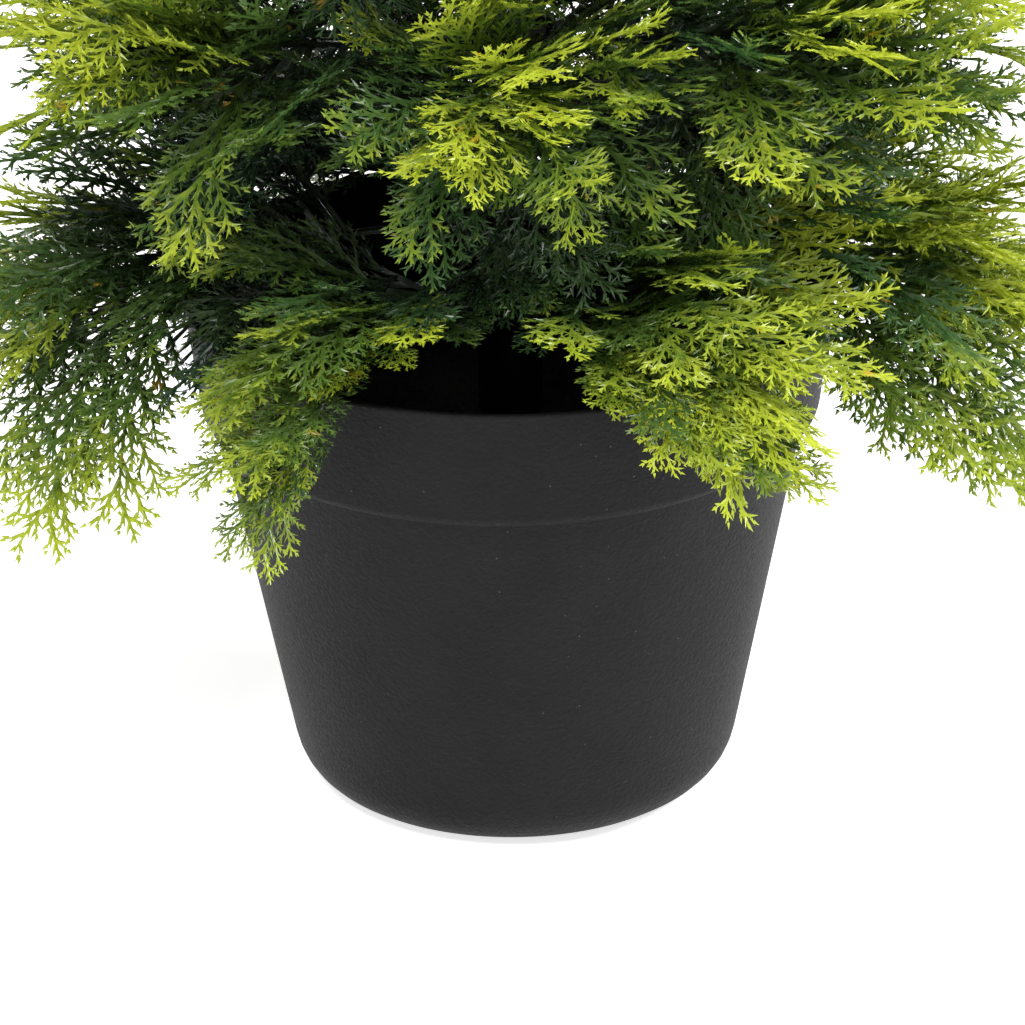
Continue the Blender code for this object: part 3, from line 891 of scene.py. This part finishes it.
@dataclass
class CedarBranch:
    """One hinged branch: a coated wire with an eye at its root, and the sprays that are moulded onto it."""

    body: str
    tier: Tier
    hinge: Floats
    outward: Floats
    seed: int
    hinge_radius: float = 0.0130
    wire_share: float = 0.80
    rim_radius: float = 0.1000
    rim_height: float = 0.1595
    front_trim: float = 0.30
    half_span: float = 0.171
    lean_deg: tuple[float, float, float] = (66.0, 44.0, 14.0)
    lean_spread_deg: float = 10.0
    plume_flatness: float = 0.80
    trial_lengths: tuple[float, ...] = (0.55, 0.70, 0.85, 1.0)

    def centreline(self, share: Floats) -> Floats:
        """Point at a share of the wire's length: hinge + run (share outward + (rise share - droop share^2) up)."""
        length = self.tier.reach - self.hinge_radius
        rise = math.tan(math.radians(self.tier.rise_deg))
        run = length * math.cos(math.radians(max(self.tier.rise_deg, 0.0)))
        height = rise * share - self.tier.droop * share**2
        return self.hinge + run * (share[:, None] * self.outward + height[:, None] * UP)

    def tangent(self, share: Floats) -> Floats:
        """Unit direction of the centreline at a share of its length."""
        return unit(self.centreline(share + 0.01) - self.centreline(share - 0.01))

    def facing(self) -> float:
        """How squarely a branch of the two low tiers faces the front, from 0 to 1."""
        return float(np.clip((-self.outward[1] - 0.6) / 0.25, 0.0, 1.0)) if self.tier.number < 3 else 0.0

    def build_wire(self) -> Object:
        """Build the tapered wire and its eye, in place of the plain wire. It ends inside its own foliage."""
        share = np.linspace(0.03, self.wire_share * (1.0 - 0.8 * self.front_trim * self.facing()), 24)
        radii = np.interp(share, [0.0, 0.12, 1.0], [WIRE_RADIUS * 1.05, WIRE_RADIUS, WIRE_RADIUS * 0.6])
        side = np.cross(self.outward, UP)
        return eyed_wire(self.body + "_coated_wire", self.centreline(share), radii, self.hinge, side)

    def planting(self) -> Placing:
        """Work out where each spray leaves the wire.

        Each spray turns on round the wire by the golden angle and leans from the wire's direction by an angle that
        closes towards the tip, so the branch is a flattened plume.

        Returns:
            The places of this branch's sprays.
        """
        random = np.random.default_rng(self.seed)
        count = self.tier.sprays
        order = (np.arange(count) + random.uniform(0.1, 0.9, count)) / count
        facing = self.facing()
        last = self.tier.last * (1.0 - self.front_trim * facing)
        share = self.tier.first + (last - self.tier.first) * order**0.85
        anchor, ahead = self.centreline(share), self.tangent(share)
        side = np.cross(self.outward, UP)
        turn = GOLDEN_ANGLE * np.arange(count) + random.uniform(0.0, 2.0 * np.pi)
        strayed = random.uniform(-self.lean_spread_deg, self.lean_spread_deg, count)
        lean = np.radians(np.interp(order, [0.0, 0.5, 1.0], self.lean_deg) + strayed)
        sideways, upwards = np.cos(turn), self.plume_flatness * np.sin(turn) + self.tier.lift
        if self.tier.number == 1:
            over_pot = np.hypot(anchor[:, 0], anchor[:, 1]) < self.rim_radius + 0.004
            upwards = np.where(over_pot, np.abs(upwards) + 0.12, upwards * 0.75)
        leaning = unit(sideways[:, None] * side + upwards[:, None] * np.cross(side, ahead))
        direction = np.cos(lean)[:, None] * ahead + np.sin(lean)[:, None] * leaning
        normal = 0.9 * UP + 0.45 * self.outward + 0.35 * leaning + random.uniform(-0.45, 0.45, (count, 3))
        outer = np.clip((order - 0.15) / 0.7, 0.0, 1.0)
        # Painted light: the lowest tier takes darker tips and the branches to the right lighter ones, as the light
        # falls on them; sprays that face up take lighter tips too.
        dye_and_light_base = (0.32 if self.tier.number == 1 else 0.44) + 0.12 * self.outward[0]
        youth = np.clip(dye_and_light_base + 0.52 * outer + 0.24 * upwards + random.uniform(-0.24, 0.24, count), 0.16, 1.05)
        placing = Placing(
            anchor=anchor,
            direction=direction,
            normal=normal,
            scale=self.tier.spray_scale * (1.0 - 0.14 * facing) * random.uniform(0.84, 1.10, count),
            bend=random.uniform(*self.tier.bend, count) + (4.0 * facing if self.tier.number == 1 else 0.0),
            youth=youth,
            cast=np.clip(0.15 + 0.55 * outer + random.uniform(-0.3, 0.35, count), 0.0, 1.0),
        )
        placing = self.hemmed(placing)
        return Placing.joined([placing, self.trained(random)]) if self.tier.number == 1 else placing

    def hemmed(self, placing: Placing) -> Placing:
        """Shorten the sprays that would pass the crown's hem or its sides, and leave out those that still would.

        Args:
            placing: The sprays as planted.

        Returns:
            The sprays that are left.
        """
        probe = SPRAY_LENGTH * np.array([[1.0, 0.0, 0.0], [0.62, 0.24, 0.0], [0.62, -0.24, 0.0]])
        rows = np.arange(len(placing.anchor))
        share = np.zeros(len(rows))
        for trial in self.trial_lengths:
            points = replace(placing, scale=trial * placing.scale).carried(probe, rows)
            hang = points[..., 2] + HEM_SLOPE * points[..., 1]
            above = hang > np.interp(points[..., 0], HEM_X, HEM_HEIGHT)
            aside = np.hypot(points[..., 0] - HOLLOW[0], hang - HOLLOW[1]) > HOLLOW[2]
            within = np.abs(points[..., 0]) < self.half_span
            clear = np.all(above & within & (aside | (points[..., 1] > 0.0)), axis=1)
            share = np.where(clear, trial, share)
        return replace(placing, scale=share * placing.scale).kept(share > 0.0)

    def trained(self, random: Random) -> Placing:
        """Plant the lowest tier's hand-bent sprays: each one's arc ends at its own tip.

        An arc of length l and bend k ends 2 sin(k l / 2) / k away, at an angle of k l / 2 below its start's way.

        Args:
            random: The branch's own random numbers.

        Returns:
            The places of the hand-bent sprays.
        """
        flip = np.array([1.0, -1.0 if self.body in MIRRORED else 1.0, 1.0])
        rows = TRAINED[MIRRORED.get(self.body, self.body)]
        count = len(rows)
        anchor = self.centreline(np.array([share for share, _, _ in rows]))
        chord = np.array([tip for _, tip, _ in rows]) / 1000.0 * flip - anchor
        bend = random.uniform(4.0, 8.0, count)
        half = np.arcsin(np.clip(bend * np.linalg.norm(chord, axis=1) / 2.0, 0.0, 0.9))
        way = unit(chord)
        over = np.cross(way, unit(np.cross(UP, way)))
        return Placing(
            anchor=anchor,
            direction=np.cos(half)[:, None] * way + np.sin(half)[:, None] * over,
            normal=over + 0.35 * flip * [0.0, -1.0, 0.0] + random.uniform(-0.2, 0.2, (count, 3)),
            scale=2.0 * half / bend / SPRAY_LENGTH,
            bend=bend,
            youth=np.array([youth for _, _, youth in rows]),
            cast=random.uniform(0.35, 0.85, count),
        )

    def clear_of_pot(self, points: Floats) -> Floats:
        """Move points out of the pot's wall and the space just above it, the shorter way: up or outwards.

        Args:
            points: The foliage's points.

        Returns:
            The points, none of them within the wall or just above it.
        """
        radius = np.hypot(points[:, 0], points[:, 1])
        lift, push = self.rim_height - points[:, 2], self.rim_radius - radius
        inside = (lift > 0.0) & (push > 0.0) & (radius > 0.5 * self.rim_radius)
        raised = inside & (lift <= push)
        moved = points.copy()
        moved[raised, 2] = self.rim_height + 0.1 * lift[raised]
        wanted = np.where(inside & ~raised, self.rim_radius + 0.15 * push, radius)
        moved[:, :2] *= (wanted / np.maximum(radius, 1e-9))[:, None]
        return moved

    def build_foliage(self, patterns: list[Skin]) -> Object:
        """Build every spray of the branch as one piece."""
        skin = self.planting().spread(patterns)
        if self.tier.number == 1:
            skin.points = self.clear_of_pot(skin.points)
        return skin_object(self.body + "_leaf_sprays", skin)

    def dress(self, patterns: list[Skin], leaf: Material, stem: Material) -> None:
        """Build both pieces from the flat sprays' patterns, finish them and hang them on the branch's body."""
        hang(self.build_wire(), stem, self.body, self.body + "_wire", "stem_coating")
        hang(self.build_foliage(patterns), leaf, self.body, self.body + "_spray", "foliage")


@dataclass
class Leader:
    """The tree's top: an upright wire with sprays all round it that close to a point."""

    body: str = "leader"
    seed: int = 4711
    sprays: int = 58
    foot: float = 0.420
    top: float = 0.556

    def planting(self) -> Placing:
        """Work out where each spray leaves the upright: round by the golden angle, closing towards the top."""
        random = np.random.default_rng(self.seed)
        order = (np.arange(self.sprays) + 0.5) / self.sprays
        height = self.foot + (self.top - self.foot) * order
        turn = GOLDEN_ANGLE * np.arange(self.sprays)
        out = np.stack([np.cos(turn), np.sin(turn), np.zeros(self.sprays)], -1)
        lean = np.radians(np.interp(order, [0.0, 0.5, 0.9, 1.0], [62.0, 46.0, 18.0, 3.0]))
        lean = lean + np.radians(random.uniform(-7.0, 7.0, self.sprays)) * (1.0 - order)
        scale = np.interp(order, [0.0, 0.6, 1.0], [0.86, 0.78, 0.70]) * random.uniform(0.93, 1.04, self.sprays)
        return Placing(
            anchor=height[:, None] * UP,
            direction=np.sin(lean)[:, None] * out + np.cos(lean)[:, None] * UP,
            normal=out + 0.25 * UP + random.uniform(-0.4, 0.4, (self.sprays, 3)),
            scale=scale,
            bend=random.uniform(0.0, 5.0, self.sprays),
            youth=random.uniform(0.55, 1.0, self.sprays),
            cast=random.uniform(0.2, 0.9, self.sprays),
        )

    def dress(self, patterns: list[Skin], leaf: Material, stem: Material) -> None:
        """Build the top's wire and sprays, finish them and hang them on the leader's body.

        Args:
            patterns: The flat sprays.
            leaf: The leaves' material.
            stem: The wire's material.
        """
        low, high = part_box("leader_wire")
        hinge = np.array([0.0, 0.0, low[2] + (high[0] - low[0]) / 2.0])
        heights = np.linspace(hinge[2] + 0.0022, high[2], 16)
        radii = np.linspace(WIRE_RADIUS, WIRE_RADIUS * 0.6, 16)
        side = np.array([0.0, 1.0, 0.0])
        wire = eyed_wire("leader_coated_wire", heights[:, None] * UP, radii, hinge, side)
        hang(wire, stem, self.body, "leader_wire", "stem_coating")
        foliage = skin_object("leader_leaf_sprays", self.planting().spread(patterns))
        hang(foliage, leaf, self.body, "leader_spray", "foliage")


@dataclass
class NurseryPot:
    """The pot's shell, turned from one profile: foot ring, rounded foot, taper, collar, lip and inside."""

    height: float = field(default_factory=lambda: float(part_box("pot")[1][2]))
    rim_radius: float = field(default_factory=lambda: float(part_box("pot")[1][0]))
    collar_height: float = 0.0375
    collar_foot_radius: float = 0.0908
    body_top_radius: float = 0.0862
    body_foot_radius: float = 0.0654
    foot_round: float = 0.0160
    wall: float = 0.0022
    floor: float = 0.0030
    foot_ring_inner: float = 0.0394
    foot_recess: float = 0.0015
    collar_round: float = 0.0026
    sides: int = 288

    def profile(self) -> Floats:
        """The pot's outline from the underside's centre, up the outside, over the lip and down the inside."""
        step = self.height - self.collar_height
        heel = self.foot_round
        corners = [
            (0.0, self.foot_recess, 0.0),
            (self.foot_ring_inner, self.foot_recess, 0.0008),
            (self.foot_ring_inner + self.foot_recess, 0.0, 0.0004),
            (self.body_foot_radius - 0.0028, 0.0, heel * 0.92),
            (self.body_top_radius - 0.0001, step - 0.0002, 0.0006),
            (self.collar_foot_radius - 0.0006, step + 0.0010, self.collar_round),
            (self.rim_radius, self.height, 0.0010),
            (self.rim_radius - self.wall, self.height, 0.0008),
            (self.collar_foot_radius - self.wall, step + self.collar_round, 0.0015),
            (self.body_top_radius - self.wall, step, 0.0015),
            (self.body_foot_radius - self.wall - 0.0028, self.floor, heel * 0.8),
            (0.0, self.floor, 0.0),
        ]
        rows = np.array(corners)
        return rounded(rows[:, :2], rows[1:-1, 2], 8)

    def dress(self, material: Material) -> None:
        """Build the shell in place of the plain pot and finish it."""
        points, faces = turned(self.profile(), self.sides)
        hang(mesh_object("pot_shell", points, faces, True), material, "tree", "pot", "pot_plastic")


@dataclass(frozen=True)
class TrunkHardware:
    """What stands in the pot and on the pole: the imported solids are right, so they only take their finishes."""

    finishes: tuple[tuple[PlainFinish, tuple[str, ...]], ...] = (
        (CEMENT, ("ballast",)),
        (FOAM, ("foam_plug",)),
        (POLE_COAT, ("trunk_pole",)),
        (TUBE, ("trunk_sleeve",)),
        (ABS, ("leader_socket", "_holder")),
        (WIRE, ("leader_pin", "_hinge_ring")),
    )

    def dress(self) -> None:
        """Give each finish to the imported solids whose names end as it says."""
        for finish, endings in self.finishes:
            material = finish.material()
            for name in (name for name in frame["nodes"] if name.endswith(endings)):
                for slot in frame["nodes"][name].material_slots:
                    slot.material = material
                LOG.info("%s: %s", name, finish.name)


@dataclass
class Studio:
    """A pale floor, a bright even room, a soft key light and a long lens a little above the pot."""

    aim: tuple[float, float, float] = (0.0, 0.0, 0.0800)
    distance: float = 2.5
    elevation_deg: float = 24.8
    roll_deg: float = -0.87
    lens_mm: float = 298.5
    sensor_mm: float = 36.0
    clip_end: float = 50.0
    room_light: float = 0.42
    floor_glow: float = 0.72
    floor_size: float = 14.0
    lamp_size: float = 0.7
    lamp_aim: float = 0.2

    def build(self) -> None:
        """Build the floor, the room's light, the lamps and the camera."""
        corners = self.floor_size / 2.0 * np.array([[-1, -1, 0], [1, -1, 0], [1, 1, 0], [-1, 1, 0]])
        floor = mesh_object("studio_floor", corners, np.array([[0, 1, 2, 3]]), False)
        paper = BACKDROP.material()
        shader = next(node for node in paper.node_tree.nodes if node.type == "BSDF_PRINCIPLED")
        shader.inputs["Emission Color"].default_value = linear("#FFFFFF")
        shader.inputs["Emission Strength"].default_value = self.floor_glow
        floor.data.materials.append(paper)
        bpy.context.scene.view_settings.view_transform = "Standard"
        room = bpy.data.worlds.new("bright_room")
        room.use_nodes = True
        glow = room.node_tree.nodes["Background"]
        glow.inputs["Color"].default_value = linear("#FFFFFF")
        seen = add_node(room.node_tree, "LightPath").outputs["Is Camera Ray"]
        strength = add_node(room.node_tree, "MapRange", {"Value": seen, 1: 0.0, 2: 1.0, 3: self.room_light, 4: 1.0})
        room.node_tree.links.new(strength.outputs[0], glow.inputs["Strength"])
        bpy.context.scene.world = room
        self.add_lamp("key", (-0.7, -1.5, 2.3), 48.0)
        self.add_lamp("rim_right", (1.7, -0.2, 1.5), 36.0)
        self.add_camera()

    def add_lamp(self, name: str, place: tuple[float, float, float], watts: float) -> None:
        """Add a square soft lamp that faces the tree.

        Args:
            name: The lamp's name.
            place: Where it stands, in metres.
            watts: Its power.
        """
        lamp = bpy.data.lights.new(name, "AREA")
        lamp.size, lamp.energy = self.lamp_size, watts
        holder = bpy.data.objects.new(name, lamp)
        holder.location = place
        towards = Vector((0.0, 0.0, self.lamp_aim)) - Vector(place)
        holder.rotation_euler = towards.to_track_quat("-Z", "Y").to_euler()
        bpy.context.scene.collection.objects.link(holder)

    def add_camera(self) -> None:
        """Add the camera: it stands back from its aim, raised, and is turned a little about its own axis."""
        lens = bpy.data.cameras.new("long_lens")
        lens.lens, lens.sensor_width, lens.clip_end = self.lens_mm, self.sensor_mm, self.clip_end
        camera = bpy.data.objects.new("camera", lens)
        tilt = Matrix.Rotation(math.radians(90.0 - self.elevation_deg), 4, "X")
        roll = Matrix.Rotation(math.radians(self.roll_deg), 4, "Z")
        back = Matrix.Translation((0.0, 0.0, self.distance))
        camera.matrix_world = Matrix.Translation(self.aim) @ tilt @ roll @ back
        bpy.context.scene.collection.objects.link(camera)
        bpy.context.scene.camera = camera


def hinged_branches() -> list[CedarBranch]:
    """Read every branch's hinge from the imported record: its place, and the outward way of its wire."""
    joints = {joint["child"]: joint for joint in frame["record"]["behaviour"]["joints"]}
    branches = []
    for tier in TIERS:
        names = sorted(name for name in joints if name.startswith(f"tier_{tier.number}_branch"))
        for place, name in enumerate(names):
            hinge = np.array(joints[name]["pos_m"], dtype=float)
            outward = unit(hinge * [1.0, 1.0, 0.0])
            branches.append(CedarBranch(name, tier, hinge, outward, 100 * tier.number + place))
    return branches


def main() -> None:
    """Build the studio, the pot, the trunk's finishes and every branch."""
    Studio().build()
    NurseryPot().dress(GrainedPolypropylene().material())
    TrunkHardware().dress()
    leaf, stem = MouldedPolyethyleneLeaf().material(), STEM_SKIN.material()
    patterns = [SprayPattern(seed).build() for seed in range(1, 8)]
    for branch in hinged_branches():
        branch.dress(patterns, leaf, stem)
    Leader().dress(patterns, leaf, stem)


if __name__ == "__main__":
    logging.basicConfig(level=logging.INFO, format="%(name)s: %(message)s")
    main()
